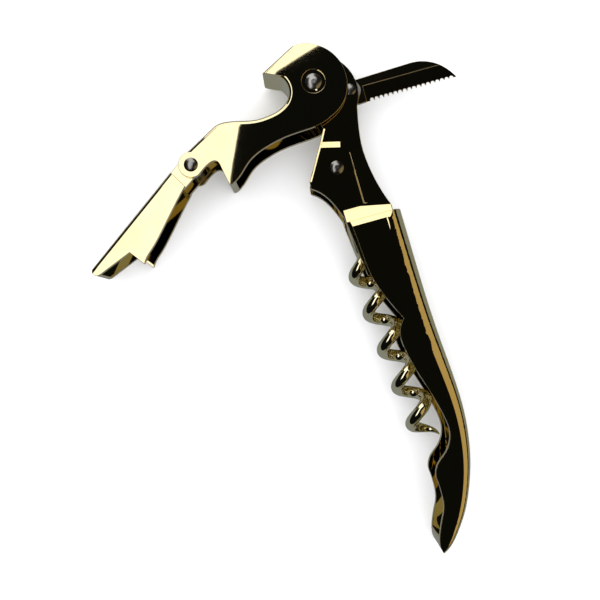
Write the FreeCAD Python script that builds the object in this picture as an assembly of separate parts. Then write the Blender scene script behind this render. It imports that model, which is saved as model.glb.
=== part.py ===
import FreeCAD, Part
import math
import os

# Double-lever corkscrew, lying open on its side.
# Every outline is drawn in the folding plane, seen from above, with the lever pivot at (0, 0),
# +Y towards the head and +X towards the spine. Every pivot axis is parallel to Z, and the tool is
# symmetric about its middle plane. The finished pieces are moved so that the origin is the point
# on the grip's lower side on which the tool rests.

Vector = FreeCAD.Vector
NEAR = 1e-4  # points this close are the same point (mm)
FAR = 40.0  # reach of a cutting shape that runs clear of the piece

# ---- widths and sheet thicknesses, across the tool (mm) ----
GRIP_WIDTH = 13.4
COVER_WALL = 1.2
SPINE_WALL = 2.0
SPINE_ROUND = 4.0
TIP_ROUND = 1.2
COVER_BEVEL = 1.35  # along the cover, at its upper end
COVER_BEVEL_DROP = 0.55
NECK_WIDTH = 9.0  # over the raised panels
PANEL_RISE = 0.35
PANEL_BEVEL = 0.34  # on the panel's back corner
PANEL_RAMP = 1.35  # length of the slope up to the panel
FRONT_BEVEL = 0.45  # width of the shallow bevel along the neck's front edge
FRONT_DROP = 0.08
CREASE_WIDTH = 0.4  # the pressed line beside the worm rivet
CREASE_DEPTH = 0.1
FRAME_SHEET = 1.1
LEVER_SHEET = 1.1
LEVER_SIDE_GAP = 0.6  # lever cheek to neck panel, room for the worm rivet's heads
TONGUE_SIDE_GAP = 0.15
BLADE_THICKNESS = 1.0
SIDE_PLAY = 0.05  # between a turning piece and what it turns against
PIN_CLEARANCE = 0.05  # radial, for every running fit

# ---- the handle, along Y ----
HANDLE_LENGTH = 111.2  # lever pivot to grip tip
COVER_TOP = 32.8  # lever pivot to the cover's upper end
TANG_LENGTH = 13.0  # frame inside the cover
COVER_PLAY = 0.4  # the cover's upper end to the start of the tang's hollow
BAND_TOP = 3.8  # top of the wider band above the cover, from the cover's upper end
BAND_KNEE = 2.9  # start of the band's slope
BAND_FOOT = 1.4  # foot of the band's slope, where its shallow bevel starts
BAND_DROP = 0.3  # depth of the shallow bevel, at its upper end
REST_SPOT = (6.3, -60.0)

# ---- pivots ----
WORM_PIVOT_DROP = 20.0
BLADE_PIVOT = (7.8, -3.5)
LEVER_REACH = 33.6  # lever pivot to link pivot
UPPER_ANGLE = 198.8  # direction of the upper lever, degrees from +X
LOWER_ANGLE = 215.6  # direction of the lower lever

# ---- levers ----
LOBE_RADIUS = 2.9
TONGUE_RADIUS = 3.4
TONGUE_PLAY = 0.3
LOWER_LENGTH = 33.3  # link pivot to the lower lever's end
LOWER_BACK = 2.66  # link pivot to the lower lever's outer face
STEP_DISTANCE = 4.25  # link pivot to the step down to the tongue
BACK_SLOPE = math.radians(8.5)  # the upper lever's back beside the lobe
FOLD_ROUND = 0.9  # outer rounding where a lever's web meets its cheeks

# ---- worm ----
WIRE_DIAMETER = 2.8
COIL_DIAMETER = 8.0
COIL_PITCH = 9.2
COIL_TURNS = 5.0
COIL_START = 20.0  # worm pivot to the first turn, along the coil axis
COIL_OFFSET = 2.44  # worm pivot to the coil axis
COIL_TILT = 5.75  # coil axis from the handle axis, degrees
SHANK_OFFSET = 0.95  # shank's lower end from the coil axis
EYE_RADIUS = 3.1
EYE_WIDTH = 2.6
POINT_RADIUS = 0.15
POINT_TURN = 150.0  # the last part of the helix, in degrees, that is ground to a point
GROWTH_TURN = 200.0  # the first part of the helix, in which it widens from the shank
SECTION_STEP = 30.0

# ---- blade ----
BLADE_REACH = 25.2  # pivot to tip
BLADE_EDGE = 2.8  # pivot to cutting edge
BLADE_SPINE = 3.2  # pivot to blade spine
POINT_CURVE = [(0.746, 0.5), (0.833, 1.5), (0.897, 2.7), (0.96, 4.4)]  # (share of reach, drop)
TANG_ROUND = 2.7
HEEL_REACH = 3.4  # pivot to the start of the edge
GRIND_LINE = 0.95  # pivot to the top of the ground face
EDGE_THICKNESS = 0.16
TOOTH_COUNT = 18
TOOTH_RADIUS = 0.44
TOOTH_RISE = 0.2  # middle of a tooth's hollow above the edge

# ---- rivets: shank radius, head radius and dome height ----
LEVER_PIN = (1.5, 1.85, 0.45)
WORM_PIN = (1.1, 1.6, 0.45)
LINK_PIN = (0.9, 1.62, 0.45)
BLADE_PIN = (0.9, 1.3, 0.25)
LEVER_SLEEVE_WALL = 0.8
LINK_SLEEVE_WALL = 0.5
WASHER_RADIUS = 2.4
BOSS_RADIUS = 3.0
BOSS_DENT = 0.3  # how far the lever's cheeks are pressed in round the lever rivet

# ---- values that follow from the sizes above (half widths are from the middle plane) ----
GRIP_HALF = GRIP_WIDTH / 2
TANG_HALF = GRIP_HALF - COVER_WALL
TANG_INNER = TANG_HALF - FRAME_SHEET
PANEL_HALF = NECK_WIDTH / 2
HEAD_HALF = PANEL_HALF - PANEL_RISE
HEAD_INNER = HEAD_HALF - FRAME_SHEET
LEVER_INNER = PANEL_HALF + LEVER_SIDE_GAP
LEVER_HALF = LEVER_INNER + LEVER_SHEET
TONGUE_HALF = LEVER_INNER - TONGUE_SIDE_GAP
TONGUE_INNER = TONGUE_HALF - LEVER_SHEET
GRIP_LENGTH = HANDLE_LENGTH - COVER_TOP
WORM_PIVOT = (0.0, -WORM_PIVOT_DROP)
SHANK_START = WASHER_RADIUS + SIDE_PLAY  # worm pivot to the top of the round wire, inside the eye
TOOTH_PITCH = (BLADE_REACH - HEEL_REACH) / (TOOTH_COUNT + 1.3)


# ---------------------------------------------------------------- drawing helpers

def place(origin, angle, along, across):
    """A point given along and across a direction, with across positive on the outer side."""
    turn = math.radians(angle)
    x = origin[0] + along * math.cos(turn) + across * math.sin(turn)
    y = origin[1] + along * math.sin(turn) - across * math.cos(turn)
    return (x, y)


LINK_PIVOT = place((0, 0), UPPER_ANGLE, LEVER_REACH, 0)


def upper(along, across):
    """A point of the upper lever, from the lever pivot."""
    return place((0, 0), UPPER_ANGLE, along, across)


def near_link(along, across):
    """A point of the upper lever, from the link pivot."""
    return place(LINK_PIVOT, UPPER_ANGLE, along, across)


def lower(along, across):
    """A point of the lower lever, from the link pivot."""
    return place(LINK_PIVOT, LOWER_ANGLE, along, across)


def neck(x, share):
    """A point of the neck, at a share of its length below the lever pivot."""
    return (x, -share * COVER_TOP)


def grip(share, x):
    """A point of the grip, at a share of its length below the cover's upper end."""
    return (x, -COVER_TOP - share * GRIP_LENGTH)


def blade(along, across):
    """A point of the open blade, from its pivot, with across positive towards its spine."""
    return (BLADE_PIVOT[0] + along, BLADE_PIVOT[1] + across)


def flat(point, z=0.0):
    """A drawn point as a vector at a height."""
    return Vector(point[0], point[1], z)


def outline(start, *steps):
    """A closed wire. A step is a point (line), (middle, end) (arc) or a longer list (smooth curve)."""
    edges = []
    here = start
    for step in steps + (start,):
        if isinstance(step[0], (int, float)):
            step = [step]
        end = step[-1]
        if len(step) == 1:
            if flat(end).distanceToPoint(flat(here)) > 1e-6:
                edges.append(Part.LineSegment(flat(here), flat(end)).toShape())
        elif len(step) == 2:
            edges.append(Part.Arc(flat(here), flat(step[0]), flat(end)).toShape())
        else:
            curve = Part.BSplineCurve()
            curve.interpolate([flat(here)] + [flat(p) for p in step])
            edges.append(curve.toShape())
        here = end
    return Part.Wire(edges)


def slab(wire, low, high):
    """The area inside a wire, as a solid between two heights."""
    face = Part.Face(wire)
    face.translate(Vector(0, 0, low))
    return face.extrude(Vector(0, 0, high - low))


def both_sides(wire, low, high):
    """The same slab above and below the middle plane."""
    return slab(wire, low, high).fuse(slab(wire, -high, -low))


def disc(centre, radius, low, high):
    """A round slab."""
    return Part.makeCylinder(radius, high - low, flat(centre, low))


def drill(centre, radius):
    """A round cutter that runs clear of every piece."""
    return disc(centre, radius, -FAR, FAR)


def dome(centre, radius, rise, base):
    """A shallow spherical cap that stands on a face, away from the middle plane."""
    ball = (radius ** 2 + rise ** 2) / (2 * rise)
    up = 1 if base > 0 else -1
    sphere = Part.makeSphere(ball, flat(centre, base + up * (rise - ball)))
    low, high = sorted((base, base + up * rise))
    return sphere.common(disc(centre, radius + 1, low, high))


def rivet(centre, sizes, face_half):
    """A rivet through both cheeks, with a domed head on each outer face."""
    shank, head, rise = sizes
    body = disc(centre, shank, -face_half, face_half)
    return body.fuse([dome(centre, head, rise, face_half), dome(centre, head, rise, -face_half)])


def ring(centre, outer, inner, low, high):
    """A flat ring or sleeve."""
    return disc(centre, outer, low, high).cut(disc(centre, inner, low - 1, high + 1))


def one_solid(shape):
    """The shape as a single clean solid."""
    shape = shape.removeSplitter()
    solids = shape.Solids
    assert len(solids) == 1, "expected one solid, got %d" % len(solids)
    return solids[0]


def edges_between(shape, half, pairs):
    """Edges in the faces at +half and -half that run between two drawn points, for each pair."""
    found = []
    for edge in shape.Edges:
        box = edge.BoundBox
        if box.ZLength > NEAR or abs(abs(box.ZMax) - half) > NEAR:
            continue
        ends = [vertex.Point for vertex in edge.Vertexes]
        for pair in pairs:
            marks = [flat(point, box.ZMax) for point in pair]
            if all(min(mark.distanceToPoint(end) for end in ends) < NEAR for mark in marks):
                found.append(edge)
    return found


def wedge(points, x_from=-FAR):
    """A prism along X, from points given as (y, z)."""
    corners = [Vector(x_from, y, z) for y, z in points]
    face = Part.Face(Part.makePolygon(corners + corners[:1]))
    return face.extrude(Vector(FAR + FAR, 0, 0))


def bar(start, end, section):
    """A straight bar between two drawn points. The section is (inset, z), inset to the left of the way."""
    way = flat(end) - flat(start)
    inward = Vector(-way.y, way.x, 0).normalize()
    corners = [flat(start, z) + inward * inset for inset, z in section]
    return Part.Face(Part.makePolygon(corners + corners[:1])).extrude(way)


def slope_cutter(start, end, half, width, drop):
    """What to take off a face at a half width for a slope that falls to the right of the way."""
    low = half - drop - drop / width
    return bar(start, end, [(width, half), (-1, low), (-1, half + 1), (width, half + 1)])


def mirrored(shape):
    """The shape on the other side of the middle plane."""
    return shape.mirror(Vector(0, 0, 0), Vector(0, 0, 1))


# ---------------------------------------------------------------- handle frame

# Points of the neck are (x, share of the neck's length below the lever pivot).
NECK_FRONT = [(-2.3, 0.4177), (-6.8, 0.6524), (-7.0, 0.7043)]
NECK_LOW_FRONT = [(-4.3, 0.7774), (-2.7, 0.8628), (-1.4, 0.9604)]
NECK_BACK = [(8.3, 0.2317), (7.4, 0.3689), (6.9, 0.5671), (7.3, 0.6829),
             (8.4, 0.8354), (9.8, 0.9604)]
PANEL_TOP = [(-3.4, 0.3963), (2.3, 0.439), (9.0, 0.6098)]
CREASE = [(3.74, 0.53), (3.87, 0.9)]
CROWN = (-0.8, 6.4)
TANG_FRONT = -1.3  # front edge of the tang, beside the lever pivot's line


def neck_outline():
    """Head arc, concave back, and a front edge with the point below the worm rivet."""
    head_left = [(-4.66, 0.2), (-2.7, -3.8)]
    front = [neck(*point) for point in NECK_FRONT]
    low_front = [neck(*point) for point in NECK_LOW_FRONT]
    back = [neck(*point) for point in NECK_BACK]
    return outline(
        CROWN,
        (-4.05, 2.35),
        head_left,
        neck(-0.6, 0.32),
        front[0],
        front[1],
        front[2],
        low_front,
        (low_front[-1][0], -COVER_TOP),
        (back[-1][0], -COVER_TOP),
        back[-1],
        back[-2::-1],
        [(7.9, 2.4), CROWN],
    )


def panel_outline():
    """The raised part of the neck round the worm rivet, a little larger than the neck."""
    top = [neck(*point) for point in PANEL_TOP]
    return outline(*top, (FAR, top[-1][1]), (FAR, -COVER_TOP), (-FAR, -COVER_TOP), (-FAR, top[-1][1]))


def spine_inside(x):
    """X of the cover's inner spine wall for the X of its back edge."""
    return x - SPINE_WALL


def make_neck_frame():
    """Two cheeks joined by the tang that the cover encloses."""
    cheeks = both_sides(neck_outline(), HEAD_INNER, HEAD_HALF)
    raised = both_sides(panel_outline(), HEAD_INNER, PANEL_HALF)
    panel_top = [neck(*point) for point in PANEL_TOP]
    raised = raised.makeChamfer(PANEL_BEVEL, edges_between(raised, PANEL_HALF, [panel_top[1:]]))
    raised = raised.common(both_sides(neck_outline(), HEAD_INNER, PANEL_HALF))
    front = [neck(-0.6, 0.32)] + [neck(*point) for point in NECK_FRONT[:2]]
    crease = [neck(*point) for point in CREASE]
    trims = [slope_cutter(front[0], front[1], HEAD_HALF, FRONT_BEVEL, FRONT_DROP),
             slope_cutter(front[1], front[2], PANEL_HALF, FRONT_BEVEL, FRONT_DROP),
             bar(crease[0], crease[1], [(CREASE_WIDTH / 2, PANEL_HALF), (0, PANEL_HALF - CREASE_DEPTH),
                                        (-CREASE_WIDTH / 2, PANEL_HALF)])]
    ramp = slope_cutter(panel_top[1], panel_top[0], PANEL_HALF, PANEL_RAMP, PANEL_RISE)
    raised = raised.cut([ramp, mirrored(ramp)])
    tang_foot = -COVER_TOP - TANG_LENGTH
    tang_back = spine_inside(BACK[-1][1])
    web_front = tang_back - FRAME_SHEET
    hollow_top = -COVER_TOP - COVER_PLAY
    band_top = BAND_TOP - COVER_TOP
    band_knee = BAND_KNEE - COVER_TOP
    band_foot = BAND_FOOT - COVER_TOP
    tang = both_sides(
        outline((TANG_FRONT, band_top), (TANG_FRONT, -COVER_TOP), (TANG_FRONT + 1.5, tang_foot),
                (tang_back, tang_foot), (tang_back, band_foot)),
        HEAD_INNER, TANG_HALF)
    slope = wedge([(band_top, PANEL_HALF), (band_top, TANG_HALF + 1), (-COVER_TOP, TANG_HALF + 1),
                   (-COVER_TOP, TANG_HALF), (band_foot, TANG_HALF - BAND_DROP), (band_knee, PANEL_HALF)])
    hollow = slab(
        outline((-FAR, hollow_top), (-FAR, tang_foot - 1), (web_front, tang_foot - 1),
                (web_front, hollow_top)),
        -TANG_INNER, TANG_INNER)
    web = slab(
        outline((web_front, hollow_top), (web_front, tang_foot), (tang_back, tang_foot),
                (tang_back, hollow_top)),
        -TANG_HALF, TANG_HALF)
    body = cheeks.fuse([raised, tang])
    body = body.cut([slope, mirrored(slope)])
    body = body.cut(trims + [mirrored(trim) for trim in trims])
    body = body.cut(hollow).fuse(web)
    body = body.cut([drill((0, 0), LEVER_PIN[0] + PIN_CLEARANCE), drill(WORM_PIVOT, WORM_PIN[0]),
                     drill(BLADE_PIVOT, BLADE_PIN[0])])
    return one_solid(body)


# ---------------------------------------------------------------- grip cover

FRONT_TOP = [(0.08, 0.1), (0.172, 0.9), (0.239, 2.7), (0.312, 5.3)]
FRONT_WAIST = [(0.335, 4.0), (0.361, 3.5), (0.404, 3.8), (0.468, 5.0), (0.555, 7.1), (0.614, 8.2),
               (0.66, 8.5), (0.69, 7.8), (0.716, 6.3), (0.74, 4.1), (0.76, 3.1), (0.79, 2.9)]
FRONT_TAIL = [(0.83, 3.0), (0.869, 2.6), (0.908, 1.2), (0.938, 0.2), (0.965, -0.4)]
BACK = [(0.985, 1.9), (0.945, 4.7), (0.9, 7.1), (0.842, 9.3), (0.79, 10.8), (0.72, 12.2),
        (0.6, 13.2), (0.509, 13.0), (0.358, 12.2), (0.189, 11.8), (0.0, 11.6)]


def make_grip_cover():
    """A U-shaped cover with a rounded spine, open towards the worm, with finger hollows in front."""
    front_corner = grip(0.0, -0.6)
    tip = grip(1.0, 0.0)
    back = [grip(*point) for point in BACK]
    wire = outline(
        front_corner,
        [grip(*point) for point in FRONT_TOP],
        [grip(*point) for point in FRONT_WAIST],
        [grip(*point) for point in FRONT_TAIL] + [tip],
        back,
    )
    body = slab(wire, -GRIP_HALF, GRIP_HALF)
    body = body.makeFillet(TIP_ROUND, SPINE_ROUND, edges_between(body, GRIP_HALF, [(tip, back[-1])]))
    bevel = wedge([(1 - COVER_TOP, GRIP_HALF - COVER_BEVEL_DROP), (1 - COVER_TOP, GRIP_HALF + 1),
                   (-COVER_TOP - COVER_BEVEL, GRIP_HALF + 1), (-COVER_TOP - COVER_BEVEL, GRIP_HALF),
                   (-COVER_TOP, GRIP_HALF - COVER_BEVEL_DROP)])
    body = body.cut([bevel, mirrored(bevel)])
    inner_back = [grip(share, spine_inside(x)) for share, x in BACK[3:]]
    hollow = outline(
        (inner_back[-1][0], 1 - COVER_TOP),
        (-FAR, 1 - COVER_TOP),
        grip(0.95, -FAR),
        grip(0.95, 1.2),
        inner_back,
    )
    return one_solid(body.cut(slab(hollow, -TANG_HALF, TANG_HALF)))


# ---------------------------------------------------------------- levers

def make_upper_lever():
    """A channel with a round head, a cap-lifting hook, a foot and an open lobe round the link."""
    hook_tip = upper(8.6, 8.1)
    hook_back = upper(-0.2, 9.4)
    bite_top = upper(6.0, 5.7)
    arm_start = upper(7.9, -0.4)
    inner_edge = [upper(3.9, -8.95), upper(8.65, -7.8), upper(12.6, -6.8), upper(17.0, -6.3),
                  near_link(-11.2, -6.9), near_link(-8.2, -8.2), near_link(-5.3, -8.9)]
    notch = [near_link(-5.4, -3.9), near_link(-5.3, -2.7), near_link(-4.75, -2.2),
             near_link(-3.5, -2.05), near_link(-1.7, -2.4), near_link(0.0, -LOBE_RADIUS)]
    lobe_end = near_link(-LOBE_RADIUS * math.sin(BACK_SLOPE), LOBE_RADIUS * math.cos(BACK_SLOPE))
    shoulder = near_link(-9.0, LOBE_RADIUS / math.cos(BACK_SLOPE) + 9.0 * math.tan(BACK_SLOPE))
    arm_back = [near_link(-9.9, 4.3), near_link(-11.5, 3.9), upper(15.8, 0.35), upper(12.7, -0.6),
                upper(10.9, -0.85), arm_start]
    wire = outline(
        hook_tip,
        hook_back,
        [upper(-2.9, 8.45), upper(-5.1, 6.5)],
        [upper(-7.45, 1.2), upper(-6.9, -3.0)],
        [upper(-4.2, -6.9), upper(1.0, -8.85)],
        inner_edge,
        near_link(-4.7, -8.6),
        near_link(-5.3, -4.4),
        notch,
        [near_link(LOBE_RADIUS, 0), lobe_end],
        shoulder,
        arm_back,
        [upper(5.45, 2.7), bite_top],
    )
    body = slab(wire, -LEVER_HALF, LEVER_HALF)
    folds = [(hook_tip, hook_back), (lobe_end, shoulder), (shoulder, arm_start), (arm_start, bite_top)]
    body = body.makeFillet(FOLD_ROUND, edges_between(body, LEVER_HALF, folds))
    web_inside = LOBE_RADIUS - LEVER_SHEET
    inside = outline(
        upper(-2.6, 7.9),
        upper(4.0, 7.1),
        [upper(4.35, 5.4), upper(4.5, 3.2), upper(5.4, 0.5), upper(7.3, -1.4), upper(10.0, -1.95),
         upper(12.9, -1.7), upper(16.2, -0.75), near_link(-9.6, 3.05)],
        near_link(0.5, web_inside),
        near_link(6.0, web_inside),
        near_link(6.0, -3.4),
        near_link(-6.4, -3.4),
        near_link(-5.8, -FAR),
        upper(-FAR, -FAR),
        upper(-FAR, FAR),
        upper(-2.6, FAR),
    )
    room = disc(LINK_PIVOT, TONGUE_RADIUS + TONGUE_PLAY, -LEVER_INNER, LEVER_INNER)
    body = body.cut([slab(inside, -LEVER_INNER, LEVER_INNER), room])
    boss_face = HEAD_HALF + SIDE_PLAY
    dent = disc((0, 0), BOSS_RADIUS - BOSS_DENT, LEVER_HALF - BOSS_DENT, LEVER_HALF + 1)
    boss = disc((0, 0), BOSS_RADIUS, boss_face, LEVER_INNER)
    body = body.fuse([boss, mirrored(boss)])
    body = body.cut([dent, mirrored(dent), drill((0, 0), LEVER_PIN[0]), drill(LINK_PIVOT, LINK_PIN[0])])
    return one_solid(body)


def make_lower_lever():
    """A channel whose upper end steps inwards to a tongue that turns inside the upper lever's lobe."""
    step_back = lower(STEP_DISTANCE, LOWER_BACK)
    end_back = lower(LOWER_LENGTH - 0.9, LOWER_BACK)
    inner_edge = [lower(LOWER_LENGTH - 10.0, -5.6), lower(LOWER_LENGTH - 12.75, -5.15),
                  lower(LOWER_LENGTH - 17.35, -4.35), lower(9.4, -2.9), lower(STEP_DISTANCE + 0.4, -2.0)]
    wire = outline(
        step_back,
        end_back,
        [lower(LOWER_LENGTH - 0.1, 1.9), lower(LOWER_LENGTH - 0.3, 0.7)],
        lower(LOWER_LENGTH - 0.9, 0.35),
        lower(LOWER_LENGTH - 9.1, -1.7),
        lower(LOWER_LENGTH - 9.2, -6.0),
        inner_edge,
    )
    body = slab(wire, -LEVER_HALF, LEVER_HALF)
    body = body.makeFillet(FOLD_ROUND, edges_between(body, LEVER_HALF, [(step_back, end_back)]))
    web_inside = LOWER_BACK - LEVER_SHEET
    far_end = LOWER_LENGTH - LEVER_SHEET
    near_end = STEP_DISTANCE + LEVER_SHEET
    inside = outline(lower(near_end, web_inside), lower(far_end, web_inside),
                     lower(far_end, -FAR), lower(near_end, -FAR))
    corner = math.sqrt(TONGUE_RADIUS ** 2 - LOWER_BACK ** 2)
    tongue = outline(
        lower(near_end, LOWER_BACK),
        lower(-corner, LOWER_BACK),
        [lower(-TONGUE_RADIUS, 0), lower(-corner, -2.3)],
        lower(near_end, -2.05),
    )
    slot = outline(lower(-FAR, web_inside), lower(near_end + 1, web_inside),
                   lower(near_end + 1, -FAR), lower(-FAR, -FAR))
    body = body.fuse(slab(tongue, -TONGUE_HALF, TONGUE_HALF))
    hole = drill(LINK_PIVOT, LINK_PIN[0] + PIN_CLEARANCE)
    body = body.cut([slab(inside, -LEVER_INNER, LEVER_INNER), slab(slot, -TONGUE_INNER, TONGUE_INNER),
                     hole])
    return one_solid(body)


# ---------------------------------------------------------------- worm

def make_worm():
    """A pointed wire helix that turns right-handed on a straight shank with a flattened eye."""
    tilt = math.radians(COIL_TILT)
    down = Vector(math.sin(tilt), -math.cos(tilt), 0)
    right = Vector(math.cos(tilt), math.sin(tilt), 0)
    up = Vector(0, 0, 1)
    top = flat(WORM_PIVOT) - right * COIL_OFFSET
    wire_radius = WIRE_DIAMETER / 2
    coil_radius = COIL_DIAMETER / 2 - wire_radius
    last = 360.0 * COIL_TURNS

    def centre(turn):
        """Middle of the wire at a turn in degrees; a negative turn is on the shank."""
        depth = COIL_START + COIL_PITCH * turn / 360
        if turn <= 0:
            share = turn / 360 * COIL_PITCH / COIL_START
            return top + down * depth + right * (SHANK_OFFSET - (COIL_OFFSET - SHANK_OFFSET) * share)
        grown = min(turn / GROWTH_TURN, 1.0)
        radius = SHANK_OFFSET + (coil_radius - SHANK_OFFSET) * grown * grown * (3 - 2 * grown)
        angle = math.radians(turn)
        return top + down * depth + right * (radius * math.cos(angle)) + up * (radius * math.sin(angle))

    shank_top = -360 * (COIL_START - SHANK_START) / COIL_PITCH
    turns = [shank_top * share for share in (1.0, 0.8, 0.6, 0.4, 0.25)]
    turns += [SECTION_STEP * count for count in range(1, int(last / SECTION_STEP) + 1)]
    curve = Part.BSplineCurve()
    curve.interpolate([centre(turn) for turn in turns])
    first = curve.FirstParameter
    grind = curve.parameter(centre(last - POINT_TURN))
    end = curve.LastParameter

    def section(where, radius):
        """A round section of the wire, square to its middle line."""
        circle = Part.Circle(curve.value(where), Vector(*curve.tangent(where)[0]), radius)
        return Part.Wire(circle.toShape())

    coil = Part.Wire(curve.toShape(first, grind)).makePipeShell([section(first, wire_radius)], True, False)
    sweep = Part.BRepOffsetAPI.MakePipeShell(Part.Wire(curve.toShape(grind, end)))
    sweep.setFrenetMode(False)
    sweep.add(section(grind, wire_radius))
    sweep.add(section(end, POINT_RADIUS))
    sweep.build()
    sweep.makeSolid()
    coil = coil.fuse(sweep.shape())
    eye = disc(WORM_PIVOT, EYE_RADIUS, -EYE_WIDTH / 2, EYE_WIDTH / 2)
    hole = drill(WORM_PIVOT, WORM_PIN[0] + PIN_CLEARANCE)
    return one_solid(coil.fuse(eye).cut(hole))


# ---------------------------------------------------------------- blade

def make_blade():
    """A small knife, ground from a line below its spine, with a scalloped edge."""
    tip = blade(BLADE_REACH, -BLADE_EDGE + 0.1)
    heel = blade(HEEL_REACH, -BLADE_EDGE)
    wire = outline(
        blade(0.0, TANG_ROUND),
        blade(2.0, BLADE_SPINE - 0.4),
        blade(0.61 * BLADE_REACH, BLADE_SPINE),
        [blade(share * BLADE_REACH, BLADE_SPINE - drop) for share, drop in POINT_CURVE] + [tip],
        heel,
        blade(HEEL_REACH - 1.6, -BLADE_EDGE - 0.1),
        blade(0.5, -TANG_ROUND),
        [blade(-TANG_ROUND, 0), blade(0.0, TANG_ROUND)],
    )
    half = BLADE_THICKNESS / 2
    body = slab(wire, -half, half)
    edge_y = BLADE_PIVOT[1] - BLADE_EDGE
    grind_y = BLADE_PIVOT[1] + GRIND_LINE
    ground = wedge([(edge_y - 1, EDGE_THICKNESS / 2), (edge_y, EDGE_THICKNESS / 2), (grind_y, half),
                    (grind_y, half + 1), (edge_y - 1, half + 1)], BLADE_PIVOT[0] + HEEL_REACH)
    tooth_y = TOOTH_RISE - BLADE_EDGE
    scallops = [drill(blade(HEEL_REACH + (1.2 + count) * TOOTH_PITCH, tooth_y), TOOTH_RADIUS)
                for count in range(TOOTH_COUNT)]
    hole = drill(BLADE_PIVOT, BLADE_PIN[0] + PIN_CLEARANCE)
    return one_solid(body.cut([ground, mirrored(ground), hole] + scallops))


# ---------------------------------------------------------------- rivets, sleeves and washers

def make_sleeve(centre, pin, wall, half):
    """A distance sleeve that keeps two cheeks apart while their rivet is closed."""
    bore = pin[0] + PIN_CLEARANCE
    return ring(centre, bore + wall, bore, -half, half)


def make_washers(centre, pin, inner_half):
    """A pair of washers that centre a thin piece between the frame's cheeks."""
    low = inner_half + SIDE_PLAY
    bore = pin[0] + PIN_CLEARANCE
    pair = [ring(centre, WASHER_RADIUS, bore, low, HEAD_INNER),
            ring(centre, WASHER_RADIUS, bore, -HEAD_INNER, -low)]
    return Part.makeCompound(pair)


def main():
    pieces = {
        "neck_frame": make_neck_frame(),
        "grip_cover": make_grip_cover(),
        "upper_lever": make_upper_lever(),
        "lower_lever": make_lower_lever(),
        "worm": make_worm(),
        "blade": make_blade(),
        "lever_rivet": rivet((0, 0), LEVER_PIN, LEVER_HALF - BOSS_DENT),
        "lever_sleeve": make_sleeve((0, 0), LEVER_PIN, LEVER_SLEEVE_WALL, HEAD_INNER),
        "worm_rivet": rivet(WORM_PIVOT, WORM_PIN, PANEL_HALF),
        "worm_washers": make_washers(WORM_PIVOT, WORM_PIN, EYE_WIDTH / 2),
        "link_rivet": rivet(LINK_PIVOT, LINK_PIN, LEVER_HALF),
        "link_sleeve": make_sleeve(LINK_PIVOT, LINK_PIN, LINK_SLEEVE_WALL, TONGUE_INNER),
        "blade_rivet": rivet(BLADE_PIVOT, BLADE_PIN, HEAD_HALF),
        "blade_washers": make_washers(BLADE_PIVOT, BLADE_PIN, BLADE_THICKNESS / 2),
    }
    os.makedirs("parts", exist_ok=True)
    for name, shape in pieces.items():
        assert shape.isValid(), name
        shape.translate(Vector(-REST_SPOT[0], -REST_SPOT[1], GRIP_HALF))
        shape.exportStep("parts/%s.step" % name)


main()
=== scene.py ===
import logging
import math
from dataclasses import dataclass, field
from enum import Enum
from typing import Any, Callable, Sequence

import bmesh
import bpy
import numpy as np
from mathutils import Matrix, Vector


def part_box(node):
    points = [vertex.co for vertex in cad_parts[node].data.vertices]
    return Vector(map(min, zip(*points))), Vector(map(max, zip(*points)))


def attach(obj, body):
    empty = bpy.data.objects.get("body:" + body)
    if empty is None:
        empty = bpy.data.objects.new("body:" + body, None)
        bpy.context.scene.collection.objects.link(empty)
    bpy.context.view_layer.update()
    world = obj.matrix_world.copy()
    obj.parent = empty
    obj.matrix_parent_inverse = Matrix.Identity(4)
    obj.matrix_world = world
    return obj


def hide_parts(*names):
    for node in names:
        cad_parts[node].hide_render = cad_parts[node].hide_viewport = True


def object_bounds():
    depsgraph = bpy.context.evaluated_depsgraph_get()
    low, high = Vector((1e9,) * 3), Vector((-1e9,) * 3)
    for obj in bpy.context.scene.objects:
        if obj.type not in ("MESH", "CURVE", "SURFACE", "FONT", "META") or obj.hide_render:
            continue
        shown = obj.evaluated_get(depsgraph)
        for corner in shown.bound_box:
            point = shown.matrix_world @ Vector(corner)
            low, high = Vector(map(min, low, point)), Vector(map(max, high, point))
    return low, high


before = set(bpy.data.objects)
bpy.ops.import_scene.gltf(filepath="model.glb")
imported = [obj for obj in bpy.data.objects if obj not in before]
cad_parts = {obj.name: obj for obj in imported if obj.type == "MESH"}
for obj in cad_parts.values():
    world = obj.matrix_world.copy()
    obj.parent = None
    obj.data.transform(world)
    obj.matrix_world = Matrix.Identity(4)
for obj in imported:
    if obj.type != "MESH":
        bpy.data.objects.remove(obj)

CAD_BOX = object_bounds()
LOG = logging.getLogger("corkscrew")
MM = 0.001
Colour = tuple[float, float, float]


# ---------------------------------------------------------------- shader writing

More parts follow.
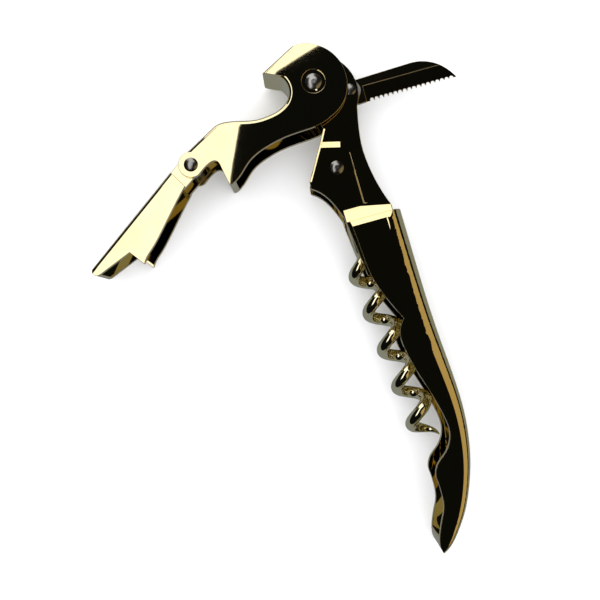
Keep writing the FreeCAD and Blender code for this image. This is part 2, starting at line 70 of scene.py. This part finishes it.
class Number:
    """A number socket of a shader, on which the usual operators add Math nodes."""

    def __init__(self, graph: "Graph", socket: bpy.types.NodeSocket) -> None:
        """Keeps the graph and the socket that carries the value."""
        self.graph = graph
        self.socket = socket

    def _with(self, operation: str, first: Any, second: Any) -> "Number":
        """Adds one Math node.

        Args:
            operation: The node's operation.
            first: Its first input, a Number or a float.
            second: Its second input.

        Returns:
            The result as a Number.
        """
        node = self.graph.node("ShaderNodeMath", {"operation": operation}, {0: first, 1: second})
        return Number(self.graph, node.outputs[0])

    def __add__(self, other: Any) -> "Number":
        """self + other"""
        return self._with("ADD", self, other)

    def __radd__(self, other: Any) -> "Number":
        """other + self"""
        return self._with("ADD", other, self)

    def __sub__(self, other: Any) -> "Number":
        """self - other"""
        return self._with("SUBTRACT", self, other)

    def __rsub__(self, other: Any) -> "Number":
        """other - self"""
        return self._with("SUBTRACT", other, self)

    def __mul__(self, other: Any) -> "Number":
        """self * other"""
        return self._with("MULTIPLY", self, other)

    def __rmul__(self, other: Any) -> "Number":
        """other * self"""
        return self._with("MULTIPLY", other, self)

    def above(self, low: float, high: float) -> "Number":
        """0 below low, 1 above high and a smooth ramp between.

        Args:
            low: Value at which the ramp starts.
            high: Value at which it ends.

        Returns:
            The ramp as a Number.
        """
        node = self.graph.node("ShaderNodeMapRange", {"interpolation_type": "SMOOTHSTEP"},
                               {"Value": self, "From Min": low, "From Max": high})
        return Number(self.graph, node.outputs["Result"])


class Graph:
    """The nodes of one material or world."""

    def __init__(self, tree: bpy.types.NodeTree) -> None:
        """Clears the tree, so that every node in it is ours."""
        self.tree = tree
        tree.nodes.clear()

    def node(self, kind: str, settings: dict[str, Any] | None = None,
             inputs: dict[Any, Any] | None = None) -> bpy.types.Node:
        """Adds any node.

        Args:
            kind: The node's type name.
            settings: Properties set before the sockets are.
            inputs: Values, sockets or Numbers, by socket name or index.

        Returns:
            The node.
        """
        made = self.tree.nodes.new(kind)
        for name, value in (settings or {}).items():
            setattr(made, name, value)
        for name, value in (inputs or {}).items():
            if isinstance(value, Number):
                value = value.socket
            if isinstance(value, bpy.types.NodeSocket):
                self.tree.links.new(value, made.inputs[name])
            else:
                made.inputs[name].default_value = value
        return made

    def place(self, turn: float = 0.0, stretch: Sequence[float] = (1, 1, 1)) -> bpy.types.NodeSocket:
        """Object coordinates, turned about Z and stretched.

        Args:
            turn: Angle about Z in degrees.
            stretch: Scale along each axis after the turn.

        Returns:
            The vector socket.
        """
        spot = self.node("ShaderNodeTexCoord")
        settings = {"vector_type": "TEXTURE"}
        turned = self.node("ShaderNodeMapping", settings,
                           {"Vector": spot.outputs["Object"], "Rotation": (0, 0, math.radians(turn))})
        scaled = self.node("ShaderNodeMapping", None, {"Vector": turned.outputs[0], "Scale": tuple(stretch)})
        return scaled.outputs[0]

    def noise(self, where: bpy.types.NodeSocket, scale: float, detail: float = 3.0,
              roughness: float = 0.55) -> Number:
        """Fractal noise from 0 to 1.

        Args:
            where: Vector socket to read.
            scale: Cells per unit of the vector, which is a metre where it isn't stretched.
            detail: Octaves.
            roughness: Weight of the finer octaves.

        Returns:
            The noise as a Number.
        """
        made = self.node("ShaderNodeTexNoise", None,
                         {"Vector": where, "Scale": scale, "Detail": detail, "Roughness": roughness})
        return Number(self, made.outputs["Fac"])

    def blend(self, share: Number, first: Any, second: Any) -> bpy.types.NodeSocket:
        """A colour between two, by a share of the second.

        Args:
            share: Number from 0 to 1.
            first: Colour or socket.
            second: Colour or socket.

        Returns:
            The colour socket.
        """
        node = self.node("ShaderNodeMix", {"data_type": "RGBA"}, {0: share, 6: first, 7: second})
        return node.outputs[2]


def rgba(colour: Colour) -> tuple[float, float, float, float]:
    """The colour with full alpha."""
    return (colour[0], colour[1], colour[2], 1.0)


# ---------------------------------------------------------------- finishes

# Patterns of the finishes, in cells per metre. Lines and marks have one count for each axis.
CLOUD_CELLS = 90.0
GRIT_CELLS = 2600.0
SWELL_CELLS = 160.0
LINE_CELLS = (260.0, 9000.0, 9000.0)
MARK_CELLS = (500.0, 2200.0, 1500.0)
MARK_TURN = 31.0  # degrees

# How much of each pattern reaches the colour, the roughness and the relief.
MARK_TINT = 0.25
MARK_TONE = 0.8
MARK_HAZE = 2.0
LINE_HAZE = 0.6
LINE_RELIEF = 0.8
GRIT_RELIEF = 0.2


@dataclass(frozen=True)
class Plating:
    """Polished plating with faint clouding, polishing lines and handling marks.

    The cloud shifts the colour between two tones, the lines are noise stretched along the
    polishing direction, and the marks are the rare high spots of a coarse noise. The line
    turn is in degrees, and the heights of the lines and of the wide ripple are in mm.
    """

    name: str
    colour: Colour
    tone: Colour
    roughness: float
    haze: float
    line_turn: float
    line_bump: float
    ripple: float

    def material(self) -> bpy.types.Material:
        """Builds the node material.

        Returns:
            The material.
        """
        made = bpy.data.materials.new(self.name)
        made.use_nodes = True
        graph = Graph(made.node_tree)
        cloud = graph.noise(graph.place(), CLOUD_CELLS, detail=4.0, roughness=0.6)
        line_place = graph.place(self.line_turn, LINE_CELLS)
        lines = graph.noise(line_place, 1.0, detail=3.0, roughness=0.6)
        grit = graph.noise(graph.place(), GRIT_CELLS, detail=2.0, roughness=0.5)
        mark_place = graph.place(MARK_TURN, MARK_CELLS)
        marks = graph.noise(mark_place, 1.0, detail=5.0, roughness=0.7).above(low=0.62, high=0.78)
        swell = graph.noise(graph.place(), SWELL_CELLS, detail=1.0, roughness=0.4)
        worn = tuple(channel * MARK_TONE for channel in self.tone)
        tint = graph.blend(cloud.above(low=0.35, high=0.75), rgba(self.colour), rgba(self.tone))
        tint = graph.blend(marks * MARK_TINT, tint, rgba(worn))
        rough = self.roughness + cloud * self.haze
        rough = rough + marks * (self.haze * MARK_HAZE) + lines * (self.haze * LINE_HAZE)
        waves = graph.node("ShaderNodeBump", None, {
            "Strength": 1.0, "Distance": self.ripple * MM, "Height": swell})
        height = lines * LINE_RELIEF + grit * GRIT_RELIEF
        bump = graph.node("ShaderNodeBump", None, {
            "Strength": 1.0, "Distance": self.line_bump * MM, "Height": height, "Normal": waves.outputs[0]})
        shader = graph.node("ShaderNodeBsdfPrincipled", None, {
            "Base Color": tint, "Metallic": 1.0, "Roughness": rough, "Normal": bump.outputs[0]})
        graph.node("ShaderNodeOutputMaterial", None, {"Surface": shader.outputs[0]})
        return made


class Look(Enum):
    """The finishes of the corkscrew."""

    BRIGHT = Plating(
        "bright_plating", (0.93, 0.80, 0.44), (0.90, 0.76, 0.38),
        roughness=0.012, haze=0.014, line_turn=15.0, line_bump=0.00012, ripple=0.0020)
    LEVER = Plating(
        "lever_plating", (0.93, 0.82, 0.50), (0.91, 0.78, 0.43),
        roughness=0.012, haze=0.014, line_turn=19.0, line_bump=0.00012, ripple=0.0024)
    EDGE = Plating(
        "rubbed_edge", (0.84, 0.66, 0.36), (0.70, 0.52, 0.26),
        roughness=0.28, haze=0.08, line_turn=60.0, line_bump=0.0003, ripple=0.0)
    WIRE = Plating(
        "wire_plating", (0.95, 0.88, 0.62), (0.88, 0.78, 0.50),
        roughness=0.03, haze=0.04, line_turn=5.0, line_bump=0.0004, ripple=0.002)
    KNIFE = Plating(
        "knife_plating", (0.86, 0.72, 0.42), (0.78, 0.62, 0.32),
        roughness=0.03, haze=0.04, line_turn=90.0, line_bump=0.0010, ripple=0.003)
    RIVET = Plating(
        "rivet_plating", (0.40, 0.39, 0.37), (0.32, 0.31, 0.29),
        roughness=0.21, haze=0.03, line_turn=45.0, line_bump=0.0002, ripple=0.0005)
    STEEL = Plating(
        "turned_steel", (0.56, 0.55, 0.53), (0.46, 0.45, 0.43),
        roughness=0.25, haze=0.12, line_turn=0.0, line_bump=0.0030, ripple=0.0)


class Palette:
    """Makes each finish's material once."""

    def __init__(self) -> None:
        """Starts with no material made."""
        self.made: dict[Look, bpy.types.Material] = {}

    def __getitem__(self, look: Look) -> bpy.types.Material:
        """The material of a finish.

        Args:
            look: The finish.

        Returns:
            Its material, made on the first call.
        """
        if look not in self.made:
            self.made[look] = look.value.material()
        return self.made[look]


PALETTE = Palette()


# ---------------------------------------------------------------- meshes

EDGES = 1  # material number of the rounded edges
GRID_MERGE = 0.0001  # points of a grid this near are one (mm)
NO_LENGTH = 0.00001  # edges shorter than this are dropped (mm)
NODE_MERGE = 0.002  # corners of a CAD node this near are one (mm)
FLAT_ANGLE = 0.35  # neighbours that differ by less become one face (degrees)
ROUNDING_STEPS = 2
LARGE_FACE_WEIGHT = 90  # over 50, large faces lead the shading of the rounded edges beside them


def surface(points: np.ndarray, close_u: bool, close_v: bool, base: int = 0) -> np.ndarray:
    """Corner numbers of the quads of a grid of points.

    Args:
        points: Array (rows, columns, 3).
        close_u: Whether the last row joins the first.
        close_v: Whether the last column joins the first.
        base: Number of the grid's first point.

    Returns:
        Array (faces, 4). Quad (i, j) is point(i, j), (i+1, j), (i+1, j+1), (i, j+1).
    """
    rows, columns = points.shape[:2]
    i = np.arange(rows if close_u else rows - 1)[:, None]
    j = np.arange(columns if close_v else columns - 1)[None, :]
    after_i, after_j = (i + 1) % rows, (j + 1) % columns
    corners = (i * columns + j, after_i * columns + j, after_i * columns + after_j, i * columns + after_j)
    stacked = np.stack(np.broadcast_arrays(*corners), axis=-1)
    return stacked.reshape(-1, 4) + base


class Piece:
    """A finished mesh that stands for CAD nodes and rides on a body."""

    def __init__(self, name: str, body: str, slot: str, nodes: Sequence[str]) -> None:
        """Keeps what the piece is called, rides on and stands for.

        Args:
            name: The piece's name.
            body: The body it rides on.
            slot: Name of its material slot; kept but not used.
            nodes: The CAD nodes it replaces.
        """
        self.name = name
        self.body = body
        self.slot = slot
        self.nodes = list(nodes)

    def from_grids(self, grids: Sequence[tuple[np.ndarray, bool, bool]],
                   look: Look) -> bpy.types.Object:
        """Makes the piece from closed parametric grids.

        Args:
            grids: (points, close_u, close_v) for each grid. The caller draws open ends to a point.
            look: Finish of the whole piece.

        Returns:
            The object.
        """
        points = np.concatenate([grid.reshape(-1, 3) for grid, _, _ in grids])
        faces, base = [], 0
        for grid, close_u, close_v in grids:
            faces.append(surface(grid, close_u, close_v, base))
            base += grid.shape[0] * grid.shape[1]
        mesh = bpy.data.meshes.new(self.name)
        mesh.from_pydata(points.tolist(), [], np.concatenate(faces).tolist())
        made = bmesh.new()
        made.from_mesh(mesh)
        bmesh.ops.remove_doubles(made, verts=made.verts, dist=GRID_MERGE * MM)
        bmesh.ops.dissolve_degenerate(made, edges=made.edges, dist=NO_LENGTH * MM)
        bmesh.ops.recalc_face_normals(made, faces=made.faces)
        made.to_mesh(mesh)
        made.free()
        mesh.polygons.foreach_set("use_smooth", np.ones(len(mesh.polygons), dtype=bool))
        return self._register(mesh, [look])

    def from_node(self, node: str, bevel: float, looks: Sequence[Look], crisp: float = 25.0,
                  rounded: float = 35.0, flat_from: float = math.inf,
                  crease: float = 0.0) -> bpy.types.Object:
        """Makes the piece from a merged copy of a CAD node, with its outward sharp edges rounded.

        Args:
            node: The CAD node.
            bevel: Width of the rounding, in mm.
            looks: Finish of the faces, and of the rounded edges.
            crisp: Least angle between two faces that keep a line between them, in degrees.
            rounded: Least angle of an outward edge that is rounded, in degrees.
            flat_from: Least area of a face that is shaded flat, in mm2.
            crease: Inward edges up to this angle are rounded too, in degrees.

        Returns:
            The object.
        """
        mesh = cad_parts[node].data.copy()
        made = bmesh.new()
        made.from_mesh(mesh)
        bmesh.ops.remove_doubles(made, verts=made.verts, dist=NODE_MERGE * MM)
        bmesh.ops.dissolve_limit(
            made, angle_limit=math.radians(FLAT_ANGLE), verts=made.verts, edges=made.edges)
        for face in made.faces:
            face.smooth = face.calc_area() < flat_from * MM * MM
        least = math.radians(rounded)
        weight = made.edges.layers.float.new("bevel_weight_edge")
        for edge in made.edges:
            angle = edge.calc_face_angle(0.0)
            if angle > least and (edge.is_convex or angle < math.radians(crease)):
                edge[weight] = 1.0
        made.to_mesh(mesh)
        made.free()
        mesh.set_sharp_from_angle(angle=math.radians(crisp))
        made_object = self._register(mesh, looks)
        rounding = made_object.modifiers.new("rounding", "BEVEL")
        rounding.width = bevel * MM
        rounding.segments = ROUNDING_STEPS
        rounding.limit_method = "WEIGHT"
        rounding.material = EDGES
        rounding.use_clamp_overlap = False
        shading = made_object.modifiers.new("shading", "WEIGHTED_NORMAL")
        shading.mode = "FACE_AREA_WITH_ANGLE"
        shading.weight = LARGE_FACE_WEIGHT
        shading.keep_sharp = True
        return made_object

    def _register(self, mesh: bpy.types.Mesh, looks: Sequence[Look]) -> bpy.types.Object:
        """Puts the mesh in the scene, dresses it and ties it to its body.

        Args:
            mesh: The finished mesh, in place in the row frame.
            looks: Finishes. Every face of the mesh gets the first, and a rounding gets the second.

        Returns:
            The object.
        """
        mesh.materials.clear()
        for look in looks:
            mesh.materials.append(PALETTE[look])
        made = bpy.data.objects.new(self.name, mesh)
        bpy.context.scene.collection.objects.link(made)
        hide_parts(*self.nodes)
        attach(made, self.body)
        LOG.info("%s: %d faces, rides on %s", self.name, len(mesh.polygons), self.body)
        return made


def middle(node: str) -> np.ndarray:
    """The middle of a CAD node's box, in metres."""
    low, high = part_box(node)
    return np.array((low + high) / 2)


def lathe(profile: np.ndarray, centre: np.ndarray, steps: int = 96) -> np.ndarray:
    """A surface of revolution about a line along Z.

    Point (i, j) is centre + (r_i cos a_j, r_i sin a_j, z_i), with a_j spread over a full turn.

    Args:
        profile: Array (n, 2) of radius and height, in mm.
        centre: The axis point, in metres.
        steps: Points round the axis.

    Returns:
        Array (n, steps, 3) in metres.
    """
    angle = np.linspace(0, 2 * np.pi, steps, endpoint=False)
    radius, height = profile[:, 0, None] * MM, profile[:, 1, None] * MM
    x = centre[0] + radius * np.cos(angle)
    y = centre[1] + radius * np.sin(angle)
    z = centre[2] + height + np.zeros_like(angle)
    return np.stack([x, y, z], axis=-1)


# ---------------------------------------------------------------- rivets

@dataclass
class Rivet:
    """A turned rivet with a low domed head on both faces. All sizes are in mm."""

    node: str
    body: str
    shank: float
    head: float
    rise: float
    dimple: float = 0.0
    dimple_share: float = 0.3
    crown: float = 2.2
    seat: float = 0.01
    rings: int = 28

    def profile(self) -> np.ndarray:
        """The outline from the top pole to the bottom pole.

        The head's height at radius r is rise (1 - (r / head)^crown), less a dimple
        dimple exp(-(r / (dimple_share head))^2). From its edge the outline goes down by the
        seat, and by the seat again on its way in to the shank.

        Returns:
            Array (n, 2) of radius and height from the middle, in mm.
        """
        low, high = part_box(self.node)
        top = float(high.z - low.z) / MM / 2
        face = top - self.rise
        share = np.linspace(0.0, 1.0, self.rings)
        hollow = self.dimple * np.exp(-(share / self.dimple_share) ** 2)
        height = top - self.rise * share ** self.crown - hollow
        head = np.column_stack([share * self.head, height])
        under = np.array([[self.head, face - self.seat], [self.shank, face - 2 * self.seat]])
        half = np.concatenate([head, under])
        return np.concatenate([half, half[::-1] * (1, -1)])

    def build(self) -> bpy.types.Object:
        """Turns the profile into the rivet.

        Returns:
            The object.
        """
        piece = Piece(self.node + "_turned", self.body, "rivet_plating", [self.node])
        return piece.from_grids([(lathe(self.profile(), middle(self.node)), False, True)], Look.RIVET)


# ---------------------------------------------------------------- worm

@dataclass
class Worm:
    """The wire worm: a straight shank, a right-handed helix ground to a point, and a forged eye.

    Lengths and radii are in mm, turns is a count, and tilt, point_turn and growth_turn are in
    degrees.
    """

    wire: float = 2.8
    coil: float = 8.0
    pitch: float = 9.2
    turns: float = 5.0
    start: float = 20.0
    offset: float = 2.44
    tilt: float = 5.75
    shank_offset: float = 0.95
    shank_start: float = 2.45
    eye_radius: float = 3.1
    eye_half: float = 1.3
    bore: float = 1.15
    point_turn: float = 150.0
    growth_turn: float = 200.0
    point_taper: float = 1.3
    tip: float = 0.12
    eye_corner: float = 0.45
    bore_bevel: float = 0.15
    corner_points: int = 7
    steps_along: int = 520
    steps_round: int = 32

    def line(self, turn: np.ndarray) -> tuple[np.ndarray, np.ndarray]:
        """The wire's middle line and a direction square to it.

        With depth d = start + pitch turn / 360 along the coil axis, the line is top + d down
        + R (right cos t + up sin t), where R grows from the shank's offset to the coil's radius
        by a smooth step over the first part of the helix. On the shank R goes evenly from offset,
        which is at the rivet, to the shank's offset.

        Args:
            turn: Turn angles in degrees, negative on the shank.

        Returns:
            (points, radial directions), each (n, 3), in mm from the worm rivet.
        """
        tilt = math.radians(self.tilt)
        down = np.array([math.sin(tilt), -math.cos(tilt), 0.0])
        right = np.array([math.cos(tilt), math.sin(tilt), 0.0])
        up = np.array([0.0, 0.0, 1.0])
        depth = self.start + self.pitch * turn / 360
        share = np.minimum(turn, 0) / 360 * self.pitch / self.start
        shank = self.shank_offset - (self.offset - self.shank_offset) * share
        grown = np.clip(turn / self.growth_turn, 0, 1)
        coil_radius = (self.coil - self.wire) / 2
        radius = shank + (coil_radius - self.shank_offset) * grown ** 2 * (3 - 2 * grown)
        angle = np.radians(np.maximum(turn, 0))
        radial = np.cos(angle)[:, None] * right + np.sin(angle)[:, None] * up
        return -right * self.offset + down * depth[:, None] + radial * radius[:, None], radial

    def tube(self) -> np.ndarray:
        """The wire's skin: line + r (n cos v + b sin v), with n square to the line in the radial plane.

        On the ground point r is wire / 2 (1 - g^point_taper) + tip g, with g from 0 to 1 along
        it, and r is nought at both ends.

        Returns:
            Array (rows, columns, 3) in metres.
        """
        first = -360 * (self.start - self.shank_start) / self.pitch
        last = 360 * self.turns
        turn = np.linspace(first, last, self.steps_along)
        points, radial = self.line(turn)
        along = np.gradient(points, axis=0)
        along /= np.linalg.norm(along, axis=1)[:, None]
        normal = radial - along * np.sum(radial * along, axis=1)[:, None]
        normal /= np.linalg.norm(normal, axis=1)[:, None]
        side = np.cross(along, normal)
        ground = np.clip((turn - (last - self.point_turn)) / self.point_turn, 0, 1)
        radius = self.wire / 2 * (1 - ground ** self.point_taper) + self.tip * ground
        radius[0] = radius[-1] = 0.0
        angle = np.linspace(0, 2 * np.pi, self.steps_round, endpoint=False)
        ring = normal[:, None] * np.cos(angle)[None, :, None] + side[:, None] * np.sin(angle)[None, :, None]
        skin = points[:, None] + ring * radius[:, None, None]
        return skin * MM + middle("worm_rivet")

    def eye(self) -> np.ndarray:
        """The forged eye: a ring with rounded edges, lathed about the worm rivet.

        Its outer corners are quarter circles, corner (cos a, sin a), and its bore is bevelled.

        Returns:
            Array (rows, columns, 3) in metres.
        """
        corner, bevel = self.eye_corner, self.bore_bevel
        angle = np.linspace(0, np.pi / 2, self.corner_points)
        reach, half = self.eye_radius - corner, self.eye_half - corner
        arc = np.column_stack([reach + corner * np.cos(angle), half + corner * np.sin(angle)])
        bore = np.array([[self.bore + bevel, self.eye_half], [self.bore, self.eye_half - bevel]])
        outer = np.concatenate([arc[::-1] * (1, -1), arc])
        profile = np.concatenate([outer, bore, bore[::-1] * (1, -1)])
        return lathe(profile, middle("worm_rivet"))

    def build(self) -> bpy.types.Object:
        """Builds the worm.

        Returns:
            The object.
        """
        piece = Piece("worm_wire", "worm", "worm_plating", ["worm"])
        return piece.from_grids([(self.tube(), False, True), (self.eye(), True, True)], Look.WIRE)


# ---------------------------------------------------------------- sheet metal

@dataclass
class Sheets:
    """The stamped and folded pieces, with their cut edges broken. Sizes are in mm."""

    bevel: float = 0.10
    blade_bevel: float = 0.07

    def build(self) -> list[bpy.types.Object]:
        """Builds the frame, cover, levers and blade.

        Returns:
            The objects.
        """
        handle = [Look.BRIGHT, Look.EDGE]
        lever = [Look.LEVER, Look.EDGE]
        return [
            Piece("neck_frame_sheet", "handle", "frame_plating", ["neck_frame"]).from_node(
                "neck_frame", self.bevel, handle, crisp=8.0, rounded=50.0, flat_from=0.6,
                crease=60.0),
            Piece("grip_cover_sheet", "handle", "cover_plating", ["grip_cover"]).from_node(
                "grip_cover", self.bevel, handle, crisp=21.0),
            Piece("upper_lever_sheet", "upper_lever", "lever_plating", ["upper_lever"]).from_node(
                "upper_lever", self.bevel, lever),
            Piece("lower_lever_sheet", "lower_lever", "lever_plating", ["lower_lever"]).from_node(
                "lower_lever", self.bevel, lever),
            Piece("blade_ground", "blade", "blade_plating", ["blade"]).from_node(
                "blade", self.blade_bevel, [Look.KNIFE, Look.EDGE], crisp=4.0, rounded=4.0),
        ]


@dataclass
class HiddenSpacers:
    """The sleeves and washers between the cheeks, plain turned steel."""

    nodes: list[str] = field(default_factory=lambda: [
        "lever_sleeve", "link_sleeve", "worm_washers", "blade_washers"])

    def dress(self) -> None:
        """Gives each CAD node its material."""
        for name in self.nodes:
            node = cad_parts[name]
            node.data.materials.clear()
            node.data.materials.append(PALETTE[Look.STEEL])
            LOG.info("%s: CAD node dressed", name)


# ---------------------------------------------------------------- studio

@dataclass
class Panel:
    """A panel that glows evenly and shows only in mirrors. Its corners are (right, up, height) in mm."""

    name: str
    corners: list[tuple[float, float, float]]
    strength: float
    colour: Colour = (1.0, 1.0, 1.0)

    def build(self, place: Callable[[float, float, float], Vector]) -> bpy.types.Object:
        """Makes the panel.

        Args:
            place: Turns (right, up, height) in the camera's directions into a row point.

        Returns:
            The object.
        """
        mesh = bpy.data.meshes.new(self.name)
        outline = list(range(len(self.corners)))
        mesh.from_pydata([place(*corner) for corner in self.corners], [], [outline])
        glow = bpy.data.materials.new(self.name)
        glow.use_nodes = True
        graph = Graph(glow.node_tree)
        shader = graph.node("ShaderNodeEmission", None, {
            "Color": rgba(self.colour), "Strength": self.strength})
        graph.node("ShaderNodeOutputMaterial", None, {"Surface": shader.outputs[0]})
        mesh.materials.append(glow)
        made = bpy.data.objects.new(self.name, mesh)
        bpy.context.scene.collection.objects.link(made)
        made.visible_camera = False
        made.visible_shadow = False
        made.visible_diffuse = False
        return made


@dataclass
class Studio:
    """A white table, glowing panels and dark surroundings, seen from straight above.

    Mirrors show a painted reflection of the table: an even, faint blue-white glow much dimmer than the lit
    paper, so that the rims of the pieces stay grey.
    Lengths are in mm, angles in degrees, and the shift is in shares of the view's side.
    """

    camera_spot: tuple[float, float, float] = (-22.23, 5.45, 205.3)
    camera_turn: float = -15.483
    lens: float = 51.0
    sensor: float = 36.0
    nearest: float = 1.0
    shift: tuple[float, float] = (-10 / 600, 32 / 600)
    floor_half: float = 1500.0
    floor_gap: float = 0.02
    paper_cells: float = 900.0
    paper: Colour = (0.86, 0.86, 0.865)
    fibre: Colour = (0.88, 0.88, 0.88)
    # strength of the painted reflection, the glow that mirrors show in place of the table
    painted_reflection_strength: float = 0.26
    daylight: float = 1.75
    mirrored_room: float = 0.004
    panel_height: float = 263.0
    window_foot: float = 30.0
    warm_foot: float = 95.0

    def place(self, right: float, up: float, height: float) -> Vector:
        """A row point by the camera's own directions.

        Args:
            right: Distance right of the camera's spot, in mm.
            up: Distance from it towards the view's upper side, in mm.
            height: Height in the row frame, in mm.

        Returns:
            The point in metres.
        """
        turn = math.radians(self.camera_turn)
        x = self.camera_spot[0] + right * math.cos(turn) - up * math.sin(turn)
        y = self.camera_spot[1] + right * math.sin(turn) + up * math.cos(turn)
        return Vector((x, y, height)) * MM

    def floor(self) -> bpy.types.Object:
        """The table top, just under the CAD model's lowest point.

        Returns:
            The object.
        """
        low = CAD_BOX[0][2] - self.floor_gap * MM
        half = self.floor_half * MM
        corners = [(-half, -half, low), (half, -half, low), (half, half, low), (-half, half, low)]
        mesh = bpy.data.meshes.new("table_top")
        mesh.from_pydata(corners, [], [(0, 1, 2, 3)])
        paper = bpy.data.materials.new("white_paper")
        paper.use_nodes = True
        graph = Graph(paper.node_tree)
        grain = graph.noise(graph.place(), self.paper_cells)
        tint = graph.blend(grain, rgba(self.paper), rgba(self.fibre))
        shader = graph.node("ShaderNodeBsdfPrincipled", None, {
            "Base Color": tint, "Roughness": 0.9, "Specular IOR Level": 0.1})
        # glossy rays see a painted reflection, an even glow of fixed colour, instead of the lit paper
        path = graph.node("ShaderNodeLightPath")
        painted_table_reflection = graph.node("ShaderNodeEmission", None, {
            "Color": rgba((0.88, 0.95, 1.0)), "Strength": self.painted_reflection_strength})
        mixed = graph.node("ShaderNodeMixShader", None, {
            0: path.outputs["Is Glossy Ray"], 1: shader.outputs[0], 2: painted_table_reflection.outputs[0]})
        graph.node("ShaderNodeOutputMaterial", None, {"Surface": mixed.outputs[0]})
        mesh.materials.append(paper)
        made = bpy.data.objects.new("table_top", mesh)
        bpy.context.scene.collection.objects.link(made)
        return made

    def surroundings(self) -> None:
        """Soft light on what is matt, and a dark room for what mirrors it."""
        world = bpy.data.worlds.new("studio")
        bpy.context.scene.world = world
        world.use_nodes = True
        graph = Graph(world.node_tree)
        path = graph.node("ShaderNodeLightPath")
        soft = graph.node("ShaderNodeBackground", None, {
            "Color": rgba((0.985, 0.99, 1.0)), "Strength": self.daylight})
        dark = graph.node("ShaderNodeBackground", None, {
            "Color": rgba((0.9, 1.0, 1.0)), "Strength": self.mirrored_room})
        mixed = graph.node("ShaderNodeMixShader", None, {
            0: path.outputs["Is Glossy Ray"], 1: soft.outputs[0], 2: dark.outputs[0]})
        graph.node("ShaderNodeOutputWorld", None, {"Surface": mixed.outputs[0]})

    def camera(self) -> None:
        """The camera, straight above and turned so that the handle leans as it lies."""
        data = bpy.data.cameras.new("overhead")
        data.lens = self.lens
        data.sensor_width = self.sensor
        data.shift_x, data.shift_y = self.shift
        data.clip_start = self.nearest * MM
        made = bpy.data.objects.new("overhead", data)
        bpy.context.scene.collection.objects.link(made)
        made.location = Vector(self.camera_spot) * MM
        made.rotation_euler = (0, 0, math.radians(self.camera_turn))
        bpy.context.scene.camera = made

    def panels(self) -> list[Panel]:
        """The soft light over the table, the window beyond it and the warm wall on the right.

        Returns:
            The panels, not built yet.
        """
        top, low, warm = self.panel_height, self.window_foot, self.warm_foot
        ceiling = [(-41.6, 80.0), (-37.0, 107.0), (-17.7, 135.6), (4.2, 149.1), (60, 190), (95, 215),
                   (40, 330), (-142, 330), (-142, -120), (-45, -60), (-43, 40)]
        window = [(-260, 330, low), (10, 330, low), (10, 330, top), (-260, 330, top)]
        wall = [(250, -250, warm), (250, 190, warm), (118, 20, top), (84, -25, top), (112, -90, top)]
        return [
            Panel("soft_light", [(right, up, top) for right, up in ceiling], 1.4),
            Panel("window", window, 1.3),
            Panel("warm_wall", wall, 0.45, (1.0, 0.74, 0.36)),
        ]

    def build(self) -> None:
        """Sets the whole stage."""
        self.floor()
        self.surroundings()
        self.camera()
        for panel in self.panels():
            panel.build(self.place)
        bpy.context.scene.view_settings.view_transform = "Standard"


# ---------------------------------------------------------------- making

def main() -> None:
    logging.basicConfig(level=logging.INFO, format="%(name)s: %(message)s")
    Studio().build()
    Sheets().build()
    Worm().build()
    rivets = [
        Rivet("lever_rivet", "upper_lever", shank=1.5, head=1.85, rise=0.45, dimple=0.05),
        Rivet("worm_rivet", "handle", shank=1.1, head=1.6, rise=0.45, dimple=0.04),
        Rivet("link_rivet", "upper_lever", shank=0.9, head=1.62, rise=0.45, dimple=0.04),
        Rivet("blade_rivet", "handle", shank=0.9, head=1.3, rise=0.25),
    ]
    for rivet in rivets:
        rivet.build()
    HiddenSpacers().dress()
    bpy.context.view_layer.update()


if __name__ == "__main__":
    main()
